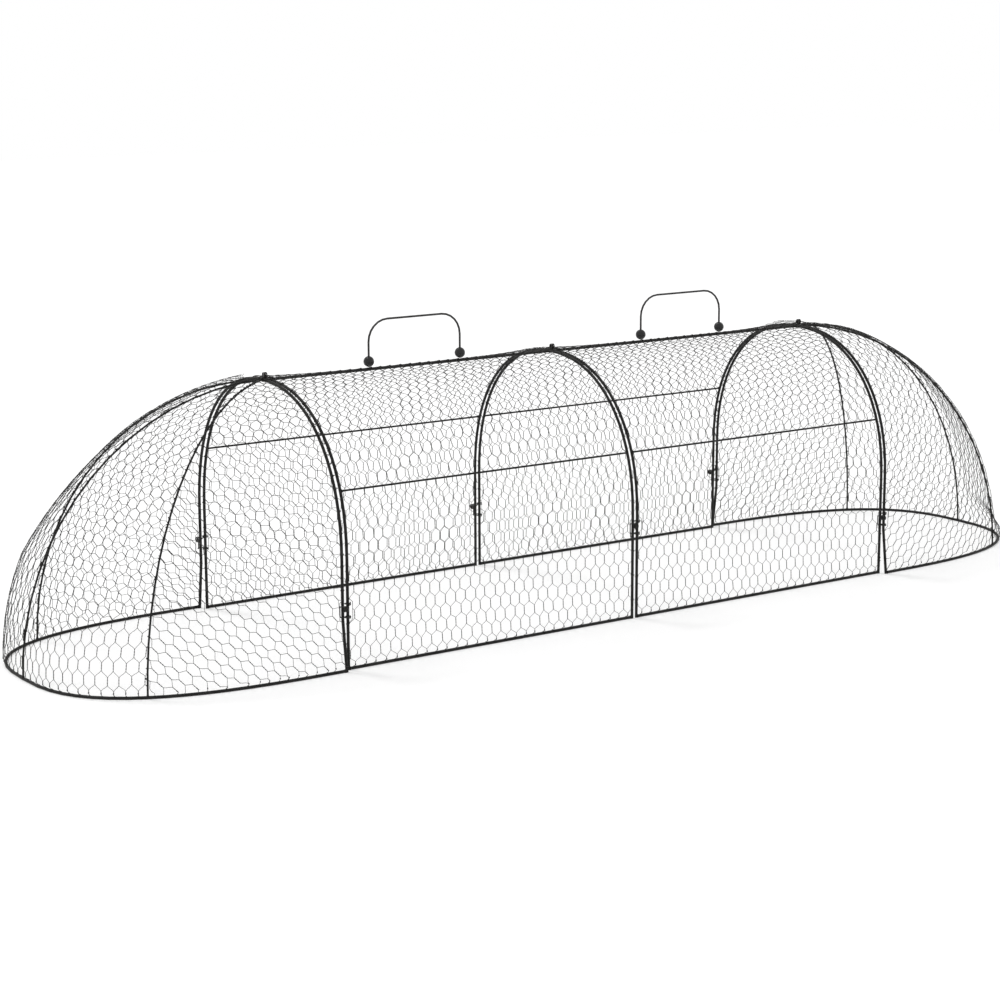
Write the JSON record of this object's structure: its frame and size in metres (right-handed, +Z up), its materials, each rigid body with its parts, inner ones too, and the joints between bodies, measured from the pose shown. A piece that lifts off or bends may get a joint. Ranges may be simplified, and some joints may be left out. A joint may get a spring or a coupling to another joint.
{
  "type": "wire garden tunnel",
  "caption": "Low garden row tunnel of black steel rod and hexagonal wire netting, with arched middle sections, rounded end domes, wire latches and ball-footed carrying handles on the ridge.",
  "frame": {"origin": "on the ground under the middle of the tunnel, where the two middle sections meet", "axes": "+X runs along the tunnel towards the right dome, +Y across it towards the far side, +Z up from the ground"},
  "size_m": [1.988, 0.4972, 0.5065],
  "materials": {
    "frame_rod": "black coated steel rod, satin",
    "netting": "black coated twisted wire",
    "handle_wire": "black coated wire, a little glossy",
    "ball": "glossy black ball",
    "latch_wire": "black coated wire, a little glossy"
  },
  "bodies": {
    "left_dome": {"left_dome_arch": "frame_rod", "left_dome_base_hoop": "frame_rod", "left_dome_centre_rib": "frame_rod", "left_dome_near_rib": "frame_rod", "left_dome_far_rib": "frame_rod", "left_dome_netting": "netting"},
    "left_middle": {"left_middle_left_arch": "frame_rod", "left_middle_right_arch": "frame_rod", "left_middle_ridge_rod": "frame_rod", "left_middle_near_base_rod": "frame_rod", "left_middle_far_base_rod": "frame_rod", "left_middle_near_side_rod": "frame_rod", "left_middle_far_side_rod": "frame_rod", "left_middle_netting": "netting", "left_handle": "handle_wire", "left_handle_left_ball": "ball", "left_handle_right_ball": "ball"},
    "right_middle": {"right_middle_left_arch": "frame_rod", "right_middle_right_arch": "frame_rod", "right_middle_ridge_rod": "frame_rod", "right_middle_near_base_rod": "frame_rod", "right_middle_far_base_rod": "frame_rod", "right_middle_near_side_rod": "frame_rod", "right_middle_far_side_rod": "frame_rod", "right_middle_netting": "netting", "right_handle": "handle_wire", "right_handle_left_ball": "ball", "right_handle_right_ball": "ball"},
    "right_dome": {"right_dome_arch": "frame_rod", "right_dome_base_hoop": "frame_rod", "right_dome_centre_rib": "frame_rod", "right_dome_near_rib": "frame_rod", "right_dome_far_rib": "frame_rod", "right_dome_netting": "netting"},
    "left_near_latch": {"left_near_latch": "latch_wire"},
    "left_far_latch": {"left_far_latch": "latch_wire"},
    "left_top_latch": {"left_top_latch": "latch_wire"},
    "centre_near_latch": {"centre_near_latch": "latch_wire"},
    "centre_far_latch": {"centre_far_latch": "latch_wire"},
    "centre_top_latch": {"centre_top_latch": "latch_wire"},
    "right_near_latch": {"right_near_latch": "latch_wire"},
    "right_far_latch": {"right_far_latch": "latch_wire"},
    "right_top_latch": {"right_top_latch": "latch_wire"}
  },
  "joints": [
    {"name": "left_middle_lifts_off", "type": "slide", "parent": "left_dome", "child": "left_middle", "axis": [0, 0, 1], "range_m": [0, 0.45]},
    {"name": "right_middle_lifts_off", "type": "slide", "parent": "left_middle", "child": "right_middle", "axis": [0, 0, 1], "range_m": [0, 0.45]},
    {"name": "right_dome_lifts_off", "type": "slide", "parent": "right_middle", "child": "right_dome", "axis": [0, 0, 1], "range_m": [0, 0.45]},
    {"name": "left_near_latch_hinge", "type": "hinge", "parent": "left_middle", "child": "left_near_latch", "pos_m": [-0.5555, -0.235, 0.095], "axis": [0, 0, 1], "range_deg": [0, 90]},
    {"name": "left_far_latch_hinge", "type": "hinge", "parent": "left_middle", "child": "left_far_latch", "pos_m": [-0.5555, 0.235, 0.115], "axis": [0, 0, -1], "range_deg": [0, 90]},
    {"name": "left_top_latch_hinge", "type": "hinge", "parent": "left_middle", "child": "left_top_latch", "pos_m": [-0.5555, 0, 0.424], "axis": [0, 1, 0], "range_deg": [0, 90]},
    {"name": "centre_near_latch_hinge", "type": "hinge", "parent": "right_middle", "child": "centre_near_latch", "pos_m": [0.0045, -0.235, 0.155], "axis": [0, 0, 1], "range_deg": [0, 90]},
    {"name": "centre_far_latch_hinge", "type": "hinge", "parent": "right_middle", "child": "centre_far_latch", "pos_m": [0.0045, 0.235, 0.104], "axis": [0, 0, -1], "range_deg": [0, 90]},
    {"name": "centre_top_latch_hinge", "type": "hinge", "parent": "right_middle", "child": "centre_top_latch", "pos_m": [0.0045, 0, 0.424], "axis": [0, 1, 0], "range_deg": [0, 90]},
    {"name": "right_near_latch_hinge", "type": "hinge", "parent": "right_dome", "child": "right_near_latch", "pos_m": [0.5645, -0.235, 0.099], "axis": [0, 0, 1], "range_deg": [0, 90]},
    {"name": "right_far_latch_hinge", "type": "hinge", "parent": "right_dome", "child": "right_far_latch", "pos_m": [0.5645, 0.235, 0.105], "axis": [0, 0, -1], "range_deg": [0, 90]},
    {"name": "right_top_latch_hinge", "type": "hinge", "parent": "right_dome", "child": "right_top_latch", "pos_m": [0.5645, 0, 0.424], "axis": [0, 1, 0], "range_deg": [0, 90]}
  ]
}
